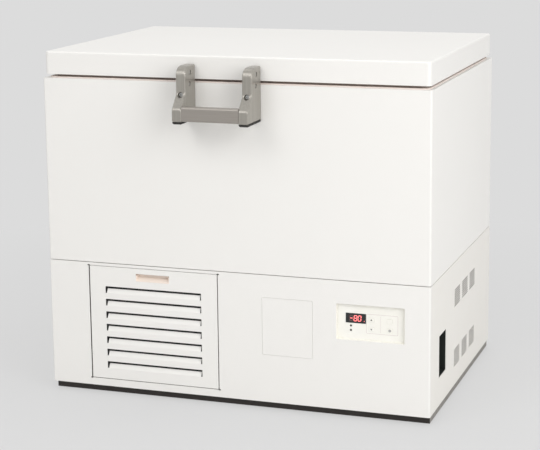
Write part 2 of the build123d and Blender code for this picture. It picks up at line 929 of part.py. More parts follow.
def side_panel():
    """The right-hand side panel: a sheet with a hemmed border that seats on the frame."""
    y = (front + front_return + panel_joint, rear - panel_joint)
    z = (plinth_height, base_top)
    outer = half_width
    panel = block((outer - rail_inset, outer), y, z)
    inner_y = (y[0] + hem_width, y[1] - hem_width)
    inner_z = (z[0] + hem_width, z[1] - hem_width)
    return panel - block((outer - rail_inset, outer - panel_sheet), inner_y, inner_z)


def vent_slots():
    slots = []
    for bottom in vent_bottoms:
        for column_index in range(vent_columns):
            y = front + vent_front + column_index * vent_column_pitch
            for row in range(vent_rows):
                z = bottom + row * vent_row_pitch
                slots.append(block((half_width - panel_sheet - 1, half_width + 1),
                                   span(y, vent_slot_length), span(z, vent_slot_height)))
    return slots


def recess_ranges(grow=0.0):
    y = (front + recess_front - grow, front + recess_front + recess_depth_along + grow)
    z = (recess_bottom - grow, recess_bottom + recess_height + grow)
    return y, z


def base_side_right():
    panel = side_panel() - block((half_width - rail_inset, half_width + 1), *recess_ranges())
    return panel - vent_slots()


def base_side_left():
    return mirror(side_panel(), Plane.YZ)


def base_rear_panel():
    x = (-half_width + rail_inset, half_width - rail_inset)
    z = (plinth_height, base_top)
    panel = block(x, (rear - rail_inset, rear), z)
    panel -= block((x[0] + hem_width, x[1] - hem_width), (rear - rail_inset, rear - panel_sheet),
                   (z[0] + hem_width, z[1] - hem_width))
    slots = []
    for column_index in range(outlet_columns):
        centre = (column_index - (outlet_columns - 1) / 2) * outlet_column_pitch
        for row in range(outlet_rows):
            slots.append(block(around(centre, outlet_slot_length), (rear - panel_sheet - 1, rear + 1),
                               span(outlet_bottom + row * outlet_row_pitch, outlet_slot_height)))
    panel -= slots
    hole = facing(gland_thread + 2 * gland_fit, gland_x, gland_height, (rear - panel_sheet - 1, rear + 1))
    return panel - hole


def cord_gland():
    y_inner = rear - panel_sheet
    body = facing(gland_thread, gland_x, gland_height, (y_inner - gland_length, rear))
    hexagon = Pos(gland_x, gland_height) * RegularPolygon(gland_hex / 2, 6)
    nut = forwards(hexagon, (y_inner - gland_nut, y_inner))
    flange = forwards(hexagon, (rear, rear + gland_flange))
    dome = facing(gland_thread, gland_x, gland_height, (rear + gland_flange, rear + gland_length))
    dome = fillet(dome.faces().sort_by(Axis.Y)[-1].edges(), gland_round)
    hole = facing(gland_thread / 2, gland_x, gland_height, (y_inner - gland_length, rear + gland_length))
    return body + nut + flange + dome - hole


def rear_spacer():
    z = around((shell_bottom + cabinet_top) / 2, spacer_height)
    pad = block(around(half_width - hinge_inset, spacer_width), span(rear, spacer_depth), z)
    return fillet(pad.faces().sort_by(Axis.Y)[-1].edges(), spacer_round)


# Filter grille and air filter
def louvre_tops():
    lowest = grille_bottom + louvre_bottom_margin + louvre_height + louvre_slit
    count = int((louvre_first - lowest) / louvre_pitch) + 1
    return [louvre_first - index * louvre_pitch for index in range(count)]


def louvre_flap(top):
    """One flap, hinged on the sheet at its lower edge and leaning into the base."""
    hinge = top - louvre_slit - louvre_height
    tip = hinge + louvre_height
    outline = make_face(Polyline((front, hinge - 1), (front, hinge), (front + louvre_lean, tip),
                                 (front + louvre_lean + grille_sheet, tip),
                                 (front + grille_sheet, hinge), (front + grille_sheet, hinge - 1),
                                 close=True))
    width = louvre_width - 2 * louvre_end_slit
    return crosswise(outline, around(grille_centre, width))


def pull_ranges(grow=0.0):
    x = around(grille_centre, pull_width + 2 * grow)
    z = (pull_top - pull_height - grow, pull_top + grow)
    return x, z


def filter_grille():
    x = span(grille_left, grille_width)
    z = (grille_bottom, grille_top)
    panel = block(x, span(front, grille_flange), z)
    panel = fillet(panel.edges().group_by(Axis.Y)[0], grille_sheet)
    panel -= block((x[0] + grille_sheet, x[1] - grille_sheet),
                   (front + grille_sheet, front + grille_flange),
                   (z[0] + grille_sheet, z[1] - grille_sheet))
    for corner_x in x:
        for corner_z in z:
            panel -= block(around(corner_x, grille_relief), (front + grille_sheet, front + grille_flange),
                           around(corner_z, grille_relief))
    for top in louvre_tops():
        panel -= block(around(grille_centre, louvre_width), (front - 1, front + grille_sheet + 1),
                       (top - louvre_slit - louvre_height, top))
    for top in louvre_tops():
        panel += louvre_flap(top)
    pull_x, pull_z = pull_ranges(pull_fit)
    return panel - block(pull_x, (front - 1, front + grille_sheet + 1), pull_z)


def finger_pull():
    x, z = pull_ranges()
    deep = front + pull_depth
    shell = block(x, (front, deep + pull_wall), (z[0], z[1] + pull_wall))
    shell -= block(x, (front, front + grille_sheet), (z[1], z[1] + pull_wall))
    flange_x, flange_z = pull_ranges(pull_flange)
    shell += block(flange_x, span(front + grille_sheet, pull_wall), flange_z)
    hollow = make_face(Polyline((front - 1, z[0] + pull_wall), (front, z[0] + pull_wall),
                                (deep, z[1] - pull_back_height), (deep, z[1]),
                                (front - 1, z[1]), close=True))
    return shell - crosswise(hollow, (x[0] + pull_wall, x[1] - pull_wall))


def filter_ranges(grow):
    x = around(grille_centre, grille_width - 2 * filter_border + 2 * grow)
    z = (rail_top + panel_sheet + filter_fit - grow, post_top - panel_sheet - filter_fit + grow)
    return x, z


def filter_holder():
    wall = filter_fit + panel_sheet
    x, z = filter_ranges(wall)
    depth = filter_thickness + filter_fit
    y = (front + filter_setback, front + filter_setback + depth + panel_sheet)
    holder = block(x, y, z)
    inner_x, inner_z = filter_ranges(filter_fit)
    holder -= block(inner_x, (y[0], y[1] - panel_sheet), inner_z)
    lip_x, lip_z = filter_ranges(-filter_lip)
    return holder - block(lip_x, y, lip_z)


def filter_panel():
    x, z = filter_ranges(0)
    y = span(front + filter_setback, filter_thickness)
    frame = block(x, y, z)
    border = filter_border
    frame -= block((x[0] + border, x[1] - border), y, (z[0] + border, z[1] - border))
    middle_y = sum(y) / 2
    mat = block((x[0] + border, x[1] - border), around(middle_y, filter_thickness * 0.4),
                (z[0] + border, z[1] - border))
    return frame, mat


def grille_magnets():
    magnets = []
    holder_x, holder_z = filter_ranges(filter_fit + panel_sheet)
    for x in (grille_left + grille_relief, grille_left + grille_width - grille_relief - magnet_width):
        for z in (holder_z[0], holder_z[1] - magnet_height):
            magnets.append(block(span(x, magnet_width), (front + grille_flange, front + filter_setback),
                                 span(z, magnet_height)))
    return magnets


def recorder_cover():
    x, z = recorder_range()
    plate = block(x, (front, front + panel_sheet), z)
    plate = fillet(plate.edges().filter_by(Axis.Y), tray_corner - recorder_gap)
    back_x, back_z = recorder_range(recorder_flange)
    return plate + block(back_x, span(front + panel_sheet, panel_sheet), back_z)


# Control panel
def panel_place(left, drop):
    """The (X, Z) of a point given from the control panel's top left corner."""
    return control_left + left, instrument_top - drop


def display_ranges(grow=0.0):
    left, top = panel_place(display_left, display_drop)
    return ((left - grow, left + display_width + grow), (top - display_height - grow, top + grow))


def key_outline(name, grow):
    x, z = panel_place(*key_places[name])
    return Pos(x, z) * RectangleRounded(key_width + 2 * grow, key_height + 2 * grow, 1.5 + grow)


def lamp_places():
    return [panel_place(lamp_left, lamp_drop + index * lamp_pitch) for index in range(2)]


def face_cutters(y):
    """The holes that the display, the lamps and the keys need in the panel's floor."""
    cutters = [block(display_ranges(key_gap)[0], y, display_ranges(key_gap)[1])]
    cutters += [facing(lamp_diameter + 2 * lamp_gap, x, z, y) for x, z in lamp_places()]
    cutters += [forwards(key_outline(name, key_gap), y) for name in key_places]
    return cutters


def standoff_places():
    x, z = control_range(-board_margin)
    inset = standoff_diameter / 2
    return [(px, pz) for px in (x[0] + inset, x[1] - inset) for pz in (z[0] + inset, z[1] - inset)]


def control_tray():
    x, z = control_range(tray_wall)
    tray = block(x, (front + panel_sheet, tray_y + tray_floor), z)
    flange_x, flange_z = control_range(tray_flange)
    tray += block(flange_x, span(front + panel_sheet, panel_sheet), flange_z)
    well_x, well_z = control_range()
    outline = Pos(sum(well_x) / 2, sum(well_z) / 2) \
        * RectangleRounded(control_width, control_height, tray_corner)
    tray -= forwards(outline, (front + panel_sheet, tray_y))
    tray -= face_cutters((tray_y - 1, tray_y + tray_floor + 1))
    for px, pz in standoff_places():
        tray += facing(standoff_diameter, px, pz, (tray_y + tray_floor, board_y))
    return tray


def control_overlay():
    x, z = control_range(-overlay_margin)
    outline = Pos(sum(x) / 2, sum(z) / 2) * RectangleRounded(x[1] - x[0], z[1] - z[0], overlay_corner)
    sheet = forwards(outline, (tray_y - overlay_sheet, tray_y))
    return sheet - face_cutters((tray_y - overlay_sheet - 1, tray_y + 1))


def display_module():
    face = tray_y - overlay_sheet - display_proud
    module = block(display_ranges()[0], (face, board_y), display_ranges()[1])
    module = fillet(module.faces().sort_by(Axis.Y)[0].edges(), 0.6)
    window_x, window_z = window_ranges()
    return module - block(window_x, span(face, window_sheet + window_sink), window_z)


def window_ranges():
    x, z = display_ranges()
    window_z = around(sum(z) / 2, window_height)
    return span(x[0] + window_left, window_width), window_z


def display_window():
    face = tray_y - overlay_sheet - display_proud + window_sink
    x, z = window_ranges()
    return block(x, span(face, window_sheet), z)


def indicator_lamps():
    lamps = []
    for x, z in lamp_places():
        lamp = facing(lamp_diameter, x, z, (tray_y - overlay_sheet - display_proud, board_y))
        lamps.append(fillet(lamp.faces().sort_by(Axis.Y)[0].edges(), lamp_diameter * 0.3))
    return lamps


def panel_key(name):
    """One key: its cap, the flange that keeps it in, its stem and its raised mark."""
    x, z = panel_place(*key_places[name])
    face = tray_y - overlay_sheet - key_proud
    back = tray_y + tray_floor
    key = forwards(key_outline(name, 0), (face, back))
    key = fillet(key.faces().sort_by(Axis.Y)[0].edges(), 0.5)
    key += forwards(key_outline(name, key_flange), (back, back + key_flange_height))
    key += facing(key_stem, x, z, (back + key_flange_height, switch_face() - key_travel - 0.1))
    mark_y = (face - key_mark_height, face)
    if name == "key_up":
        key += forwards(Pos(x, z) * RegularPolygon(key_mark / 2, 3, rotation=90), mark_y)
    elif name == "key_down":
        key += forwards(Pos(x, z) * RegularPolygon(key_mark / 2, 3, rotation=-90), mark_y)
    elif name == "key_set":
        key += facing(key_mark * 1.5, x, z, mark_y)
    return key


def switch_face():
    return board_y - switch_height


def control_board():
    x, z = control_range(-board_margin)
    board = block(x, span(board_y, board_sheet), z)
    for name in key_places:
        kx, kz = panel_place(*key_places[name])
        board += block(around(kx, switch_body), (switch_face(), board_y), around(kz, switch_body))
    width, depth, height = terminal_strip
    return board + block(around(sum(x) / 2, width), span(board_y + board_sheet, depth),
                         around(z[0] + terminal_rise, height))


# Side recess with the power rocker
def rocker_centre():
    y, z = recess_ranges()
    return sum(y) / 2, z[1] - rocker_drop


def rocker_floor():
    return half_width - recess_sink


def rocker_axis_x():
    return rocker_floor() - rocker_sink / 2


def switch_cup():
    y, z = recess_ranges()
    floor = rocker_floor()
    cup = block((floor - recess_wall, half_width - panel_sheet), *recess_ranges(recess_wall))
    cup += block(span(half_width - panel_sheet - recess_wall, recess_wall), *recess_ranges(recess_flange))
    cup -= block((floor, half_width), y, z)
    ry, rz = rocker_centre()
    outer_y = around(ry, rocker_width + 2 * rocker_gap + 2 * recess_wall)
    outer_z = around(rz, rocker_height + 2 * rocker_gap + 2 * recess_wall)
    cup += block((floor - rocker_sink - recess_wall, floor + recess_wall), outer_y, outer_z)
    cup -= block((floor - rocker_sink, floor + recess_wall),
                 around(ry, rocker_width + 2 * rocker_gap), around(rz, rocker_height + 2 * rocker_gap))
    return cup - rocker_pin_cylinder(rocker_pin + 2 * rocker_pin_gap, rocker_width + 4)


def rocker_pin_cylinder(diameter, length):
    ry, rz = rocker_centre()
    return forwards(Pos(rocker_axis_x(), rz) * Circle(diameter / 2), around(ry, length))


def power_rocker():
    """A rocker whose upper half stands proud; it turns about its pin by the full tilt."""
    ry, rz = rocker_centre()
    axis_x = rocker_axis_x()
    half = rocker_height / 2 - rocker_gap
    crown = rocker_floor() + recess_wall - axis_x
    tilt = radians(rocker_tilt)
    corners = [(-crown * 0.35, -half * 0.5), (-crown * 0.35, half * 0.5), (crown * 0.75, half),
               (crown * 0.75 + half * sin(tilt), half * cos(tilt)), (crown * 0.85, 0),
               (crown * 0.75 + half * sin(tilt), -half * cos(tilt)), (crown * 0.75, -half)]
    turned = [(axis_x + u * cos(tilt) + v * sin(tilt), rz - u * sin(tilt) + v * cos(tilt))
              for u, v in corners]
    outline = make_face(Polyline(*turned, close=True))
    rocker = forwards(outline, around(ry, rocker_width))
    return rocker + rocker_pin_cylinder(rocker_pin, rocker_width + 3)


# Condenser and fan
def condenser_y():
    return span(front + condenser_setback, condenser_thickness)


def condenser_z():
    return span(deck_top + condenser_foot, condenser_height)


def condenser_fins():
    x = around(grille_centre, condenser_width)
    y = condenser_y()
    z = condenser_z()
    fins = block(x, y, z)
    web = around(sum(y) / 2, fin_web)
    count = int(condenser_width / fin_pitch)
    start = grille_centre - (count - 1) * fin_pitch / 2
    grooves = []
    for index in range(count):
        gap_x = around(start + index * fin_pitch, fin_gap)
        grooves.append(block(gap_x, (y[0], web[0]), z))
        grooves.append(block(gap_x, (web[1], y[1]), z))
    fins -= grooves
    return fins - [tube_straight(height, condenser_tube + 2 * touch_gap, condenser_width)
                   for height in tube_heights()]


def tube_heights():
    z = condenser_z()
    pitch = condenser_height / condenser_passes
    return [z[0] + pitch * (index + 0.5) for index in range(condenser_passes)]


def tube_straight(height, diameter, length):
    centre = Pos(sum(condenser_y()) / 2, height)
    return crosswise(centre * Circle(diameter / 2), around(grille_centre, length))


def condenser_tubes():
    """One serpentine of straight passes joined by return bends."""
    y = sum(condenser_y()) / 2
    heights = tube_heights()
    reach = tube_end_x - grille_centre
    bend = (heights[1] - heights[0]) / 2 - 0.5
    points = [(grille_centre + reach, y, heights[0])]
    for index, height in enumerate(heights):
        far = -1 if index % 2 == 0 else 1
        points.append((grille_centre + far * (reach + bend), y, height))
        if index + 1 < len(heights):
            points.append((grille_centre + far * (reach + bend), y, heights[index + 1]))
    points[-1] = (grille_centre + reach, y, heights[-1])
    return pipe(points, condenser_tube, bend)


def condenser_brackets():
    plates = []
    y = condenser_y()
    z = (deck_top, condenser_z()[1])
    for side in (-1, 1):
        inner = grille_centre + side * condenser_width / 2
        x = sorted((inner, inner + side * side_plate))
        plate = block(x, y, z)
        foot_x = sorted((inner, inner + side * 20))
        plate += block(foot_x, y, span(deck_top, side_plate))
        for height in tube_heights():
            plate -= tube_straight(height, condenser_tube + 2 * touch_gap, condenser_width + 4 * side_plate)
        plates.append(plate)
    return plates


def fan_centre_z():
    return sum(condenser_z()) / 2


def fan_shroud():
    x = around(grille_centre, condenser_width + 2 * side_plate)
    y = span(condenser_y()[1], shroud_depth)
    z = (deck_top, condenser_z()[1])
    shroud = block(x, y, z)
    shroud -= block((x[0] + shroud_sheet, x[1] - shroud_sheet), (y[0], y[1] - shroud_sheet),
                    (z[0] + shroud_sheet, z[1] - shroud_sheet))
    centre = (grille_centre, fan_centre_z())
    ring_y = (y[1] - shroud_sheet, y[1] + shroud_rim)
    shroud += facing(fan_opening + 2 * shroud_sheet, *centre, ring_y)
    return shroud - facing(fan_opening, *centre, ring_y)


def fan_plane():
    return condenser_y()[1] + shroud_depth + fan_inset


def fan_blade():
    """A pressed propeller: pitched blades on a hub, cut to the fan's own circle."""
    hub = Cylinder(fan_hub / 2, fan_hub_length)
    rim = Cylinder(fan_diameter / 2, fan_hub_length * 2)
    fan = fillet(hub.faces().sort_by(Axis.Z)[0].edges(), 5)
    length = fan_diameter / 2
    for index in range(fan_blades):
        blade = Pos(length / 2, 0, 0) * Box(length, fan_blade_chord, fan_blade_sheet)
        blade = Rot(fan_pitch, 0, 0) * blade
        blade -= Cylinder(fan_hub / 2 - 1, fan_hub_length * 3)
        fan += Rot(0, 0, index * 360 / fan_blades) * (blade & rim)
    fan -= Cylinder(fan_shaft / 2 + fan_fit, fan_hub_length * 2)
    return Pos(grille_centre, fan_plane(), fan_centre_z()) * Rot(90, 0, 0) * fan


def motor_start():
    return fan_plane() + fan_hub_length / 2 + motor_gap


def fan_motor():
    z = fan_centre_z()
    can = facing(motor_diameter, grille_centre, z, span(motor_start(), motor_length))
    can = fillet(can.edges().filter_by(GeomType.CIRCLE), 6)
    shaft = facing(fan_shaft, grille_centre, z, (fan_plane() - fan_hub_length / 2 + 4, motor_start() + 1))
    return can + shaft


def fan_bracket():
    """A strap under the motor, from a foot on the deck to a saddle round the can."""
    z = fan_centre_z()
    y = around(motor_start() + motor_length / 2, strap_width)
    x = around(grille_centre, motor_diameter * 0.8)
    leg = block(x, y, (deck_top, z))
    radius = motor_diameter / 2 + touch_gap
    clear = facing(2 * radius, grille_centre, z, y)
    inner = block((x[0] + strap_sheet, x[1] - strap_sheet), y, (deck_top + strap_sheet, z - radius - strap_sheet))
    saddle = facing(2 * radius + 2 * strap_sheet, grille_centre, z, y)
    saddle &= block(around(grille_centre, motor_diameter * 2), y, (z - motor_diameter, z))
    foot = block(around(grille_centre, motor_diameter * 1.5), y, span(deck_top, strap_sheet))
    return leg - inner + saddle + foot - clear


# Compressors and refrigerant circuit
def compressor_y():
    return middle + compressor_back


def grommet_places(x):
    width, depth = compressor_plate
    inset = grommet_diameter / 2 + grommet_inset
    return [(x + sx * (width / 2 - inset), compressor_y() + sy * (depth / 2 - inset))
            for sx in (-1, 1) for sy in (-1, 1)]


def compressor_grommets():
    grommets = []
    for x in compressor_places:
        for px, py in grommet_places(x):
            grommet = upright(grommet_diameter, px, py, span(deck_top, grommet_height))
            groove = around(deck_top + grommet_height / 2, grommet_groove)
            waist = upright(grommet_diameter, px, py, groove)
            waist -= upright(grommet_diameter - 2 * grommet_groove, px, py, groove)
            grommets.append(grommet - waist)
    return grommets


def compressor(x):
    """A sealed compressor on its foot plate, with its terminal box and three pipe stubs."""
    y = compressor_y()
    plate_z = span(deck_top + grommet_height, compressor_plate_sheet)
    width, depth = compressor_plate
    plate = column(width, depth, grommet_diameter / 2, plate_z, y, x)
    can = upright(compressor_diameter, x, y, span(plate_z[1], compressor_height))
    can = fillet(can.faces().sort_by(Axis.Z)[-1].edges(), compressor_crown)
    can = fillet(can.faces().sort_by(Axis.Z)[0].edges(), compressor_base_round)
    seam_z = around(plate_z[1] + compressor_height * 0.55, compressor_seam)
    seam = upright(compressor_diameter + 2 * compressor_seam_proud, x, y, seam_z)
    box_y = y - compressor_diameter / 2 - terminal_box[0] + 8
    box = block(around(x, terminal_box[1]), span(box_y, terminal_box[0]),
                around(seam_z[0] - terminal_box[2] / 2 - 4, terminal_box[2]))
    stub_y = (y, y + compressor_diameter / 2 + stub_length)
    stubs = [facing(stub_diameter, sx, sz, stub_y) for sx, sz in stub_places(x)]
    return plate + can + seam + box + stubs


def stub_places(x):
    """The (X, Z) of the discharge stub and of the suction stub, on the rear of a compressor."""
    base = deck_top + grommet_height + compressor_plate_sheet
    return [(x + compressor_diameter * 0.2, base + compressor_height * 0.35),
            (x - compressor_diameter * 0.2, base + compressor_height * 0.62)]


def stub_end():
    return compressor_y() + compressor_diameter / 2 + stub_length


def exchanger_box():
    y = rear - rail_inset - exchanger_rear_gap - exchanger_size[1] / 2
    return exchanger_x, y, (deck_top, exchanger_top)


def heat_exchanger():
    """The foam-jacketed interstage exchanger, strapped at two heights."""
    x, y, z = exchanger_box()
    width, depth = exchanger_size
    jacket = column(width, depth, exchanger_corner, z, y, x)
    jacket = fillet(jacket.faces().sort_by(Axis.Z)[-1].edges(), exchanger_corner / 2)
    for share in (0.3, 0.7):
        band = around(z[0] + (z[1] - z[0]) * share, exchanger_band)
        jacket += column(width + 2 * exchanger_band_proud, depth + 2 * exchanger_band_proud,
                         exchanger_corner + exchanger_band_proud, band, y, x)
    return jacket


def drier_place():
    return first_compressor_x - compressor_plate[0], exchanger_box()[1]


def drier_z():
    return span(deck_top + drier_rise, drier_length)


def filter_drier():
    """A spun copper drier, standing between its two necks."""
    x, y = drier_place()
    z = drier_z()
    radius = drier_diameter / 2
    neck = pipe_diameter / 2 + 1
    outline = make_face(Polyline((0, z[0]), (neck, z[0]), (radius, z[0] + drier_neck),
                                 (radius, z[1] - drier_neck), (neck, z[1]), (0, z[1]), close=True))
    return Pos(x, y, 0) * revolve(Plane.XZ * outline, Axis.Z)


def refrigerant_pipes():
    """The copper lines between the compressors, condenser, drier, exchanger and coil."""
    first, second = compressor_places
    (out1_x, out1_z), (in1_x, in1_z) = stub_places(first)
    (out2_x, out2_z), (in2_x, in2_z) = stub_places(second)
    start = stub_end()
    lane = start + pipe_lane
    ex_x, ex_y, ex_z = exchanger_box()
    ex_left = ex_x - exchanger_size[0] / 2
    ex_right = ex_x + exchanger_size[0] / 2
    drier_x, drier_y = drier_place()
    drier_low, drier_high = drier_z()
    top_lane = ex_z[1] + pipe_lane
    low_tube, high_tube = tube_heights()[0], tube_heights()[-1]
    cond_y = sum(condenser_y()) / 2
    feed_x, return_x = coil_legs()
    liquid_x = ex_x - exchanger_size[0] * 0.3
    routes = [
        [(tube_end_x, cond_y, high_tube), (corridor_x, cond_y, high_tube), (corridor_x, lane, high_tube),
         (out1_x, lane, high_tube), (out1_x, lane, out1_z), (out1_x, start, out1_z)],
        [(tube_end_x, cond_y, low_tube), (corridor_x, cond_y, low_tube), (corridor_x, drier_y, low_tube),
         (drier_x, drier_y, low_tube), (drier_x, drier_y, drier_low)],
        [(drier_x, drier_y, drier_high), (drier_x, drier_y, top_lane),
         (liquid_x, drier_y, top_lane), (liquid_x, drier_y, ex_z[1])],
        [(in1_x, start, in1_z), (in1_x, ex_y, in1_z), (ex_left, ex_y, in1_z)],
        [(out2_x, start, out2_z), (out2_x, ex_y, out2_z), (ex_right, ex_y, out2_z)],
        [(feed_x, coil_leg_y(), ex_z[1]), (feed_x, coil_leg_y(), shell_bottom)],
        [(return_x, start, in2_z), (return_x, coil_leg_y(), in2_z),
         (return_x, coil_leg_y(), shell_bottom)],
    ]
    return [pipe(route) for route in routes]


# Writes every sub-part
def main():
    os.makedirs("parts", exist_ok=True)
    frame, mat = filter_panel()
    parts = {
        "base_frame": base_frame(), "floor_pads": floor_pads(), "kick_plate": kick_plate(),
        "machine_deck": machine_deck(), "base_front_panel": base_front_panel(),
        "base_side_left": base_side_left(), "base_side_right": base_side_right(),
        "base_rear_panel": base_rear_panel(), "cord_gland": cord_gland(),
        "rear_spacers": both_sides(rear_spacer()),
        "filter_grille": filter_grille(), "finger_pull": finger_pull(),
        "grille_magnets": grille_magnets(), "filter_holder": filter_holder(),
        "filter_frame": frame, "filter_mat": mat, "recorder_cover": recorder_cover(),
        "control_tray": control_tray(), "control_overlay": control_overlay(),
        "display_module": display_module(), "display_window": display_window(),
        "indicator_lamps": indicator_lamps(), "control_board": control_board(),
        "switch_cup": switch_cup(), "power_rocker": power_rocker(),
        "condenser_fins": condenser_fins(), "condenser_tubes": condenser_tubes(),
        "condenser_brackets": condenser_brackets(), "fan_shroud": fan_shroud(),
        "fan_blade": fan_blade(), "fan_motor": fan_motor(), "fan_bracket": fan_bracket(),
        "compressor_first_stage": compressor(first_compressor_x),
        "compressor_second_stage": compressor(second_compressor_x),
        "compressor_grommets": compressor_grommets(), "heat_exchanger": heat_exchanger(),
        "filter_drier": filter_drier(), "refrigerant_pipes": refrigerant_pipes(),
        "cabinet_shell": cabinet_shell(), "inner_tank": inner_tank(),
        "cabinet_insulation": cabinet_insulation(), "evaporator_coil": evaporator_coil(),
        "breaker_collar": breaker_collar(), "lid_shell": lid_shell(), "lid_liner": lid_liner(),
        "lid_insulation": lid_insulation(), "lid_gasket": lid_gasket(),
        "hinge_body_brackets": [hinge_body_bracket(x) for x in hinge_places()],
        "hinge_lid_brackets": [hinge_lid_bracket(x) for x in hinge_places()],
        "hinge_pins": [hinge_pin_solid(x) for x in hinge_places()],
        "hinge_spring_barrels": [hinge_spring_barrel(x) for x in hinge_places()],
        "handle_arms": [handle_arm(x) for x in arm_places()],
        "handle_brackets": [handle_bracket(x) for x in arm_places()],
        "handle_bar": handle_bar(), "handle_screws": handle_screws(),
        "handle_caps": [arm_cap(x) for x in arm_places()],
    }
    for name in key_places:
        parts[name] = panel_key(name)
    for name, solids in parts.items():
        save(name, solids)


main()
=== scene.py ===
# Laboratory chest freezer, dressed for its picture. Metres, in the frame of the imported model.
import json
from math import cos, pi, sin

import bmesh
import bpy
from mathutils import Euler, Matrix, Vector

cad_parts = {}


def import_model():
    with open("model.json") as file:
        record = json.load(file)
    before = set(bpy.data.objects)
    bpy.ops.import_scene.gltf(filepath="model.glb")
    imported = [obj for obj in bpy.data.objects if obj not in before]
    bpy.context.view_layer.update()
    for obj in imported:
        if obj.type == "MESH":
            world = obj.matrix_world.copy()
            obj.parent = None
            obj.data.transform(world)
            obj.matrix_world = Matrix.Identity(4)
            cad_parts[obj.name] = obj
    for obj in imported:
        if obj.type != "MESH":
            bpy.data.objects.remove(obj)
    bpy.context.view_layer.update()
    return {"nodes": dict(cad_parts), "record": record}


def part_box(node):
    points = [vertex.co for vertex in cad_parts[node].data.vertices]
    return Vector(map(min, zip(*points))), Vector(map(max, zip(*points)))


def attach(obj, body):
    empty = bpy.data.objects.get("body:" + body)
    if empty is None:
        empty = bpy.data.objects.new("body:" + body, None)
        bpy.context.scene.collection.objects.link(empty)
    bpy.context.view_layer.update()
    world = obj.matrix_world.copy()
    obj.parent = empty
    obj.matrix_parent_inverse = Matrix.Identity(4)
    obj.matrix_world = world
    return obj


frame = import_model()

# Camera, for an image of 540 x 450
image_width = 540
image_height = 450
camera_place = Vector((1.4653, -4.2580, 1.4261))
camera_turn = (1.3828, 0.0108, 0.3320)
focal_pixels = 1598.6
centre_x = 269.8
centre_y = 179.0
sensor_width = 36.0

# Display, in metres
reading = "-80"
digit_height = 0.0145
digit_width = 0.0078
digit_pitch = 0.0112
digit_bar = 0.0021
digit_slant = 0.08         # lean to the right for each unit of height
digit_gap = 0.15           # gap at each end of a bar, as a share of its width
dot_radius = 0.0011
dot_inset = 0.0042         # from the right edge of the display module
dot_rise = 0.0062          # from its lower edge

# Printing, in metres
print_lift = 0.00006
print_line = 0.0008
arrow_radius = 0.003
set_mark_radius = 0.0039
keypad_gap = 0.001         # from the display module to the printed frame
keypad_below = 0.012       # from the middle of the set key
keypad_beyond = 0.022      # from the middle of the alarm key
keypad_corner = 0.003
divider_inset = 0.004
corner_steps = 6
circle_corners = 32

# Sockets of a colour mix
mix_factor = 0
mix_first = 6
mix_second = 7
mix_result = 2

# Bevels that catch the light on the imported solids
bevel_segments = 2
bevel_angle = 0.7          # edges that turn by more than this, in radians

# Light and surroundings
backdrop_grey = (0.716, 0.716, 0.716)
world_strength = 0.62
lamps = {
    "key": {"place": (-1.5, -3.7, 3.9), "target": (0, 0, 0.5), "size": 2.6, "power": 45.0},
    "fill": {"place": (3.4, -2.6, 2.2), "target": (0, 0, 0.5), "size": 3.0, "power": 80.0},
    "top": {"place": (0.2, 0.6, 4.2), "target": (0, 0, 0.9), "size": 3.0, "power": 30.0},
}
floor_reach = 9.0
floor_roughness = 0.9
floor_shade = 0.3          # share of the floor's own light and shadow that shows near the object
shade_near = 0.9           # distances from the middle between which that share fades out
shade_far = 2.2


def linear(red, green, blue):
    """An 8-bit screen colour as linear light."""
    def channel(value):
        share = value / 255
        return share / 12.92 if share <= 0.04045 else ((share + 0.055) / 1.055) ** 2.4
    return tuple(channel(value) for value in (red, green, blue)) + (1.0,)


def scaled(colour, factor, lift=0.0):
    """A colour made lighter or darker, still opaque."""
    return tuple(min(channel * factor + lift, 1) for channel in colour[:3]) + (1.0,)


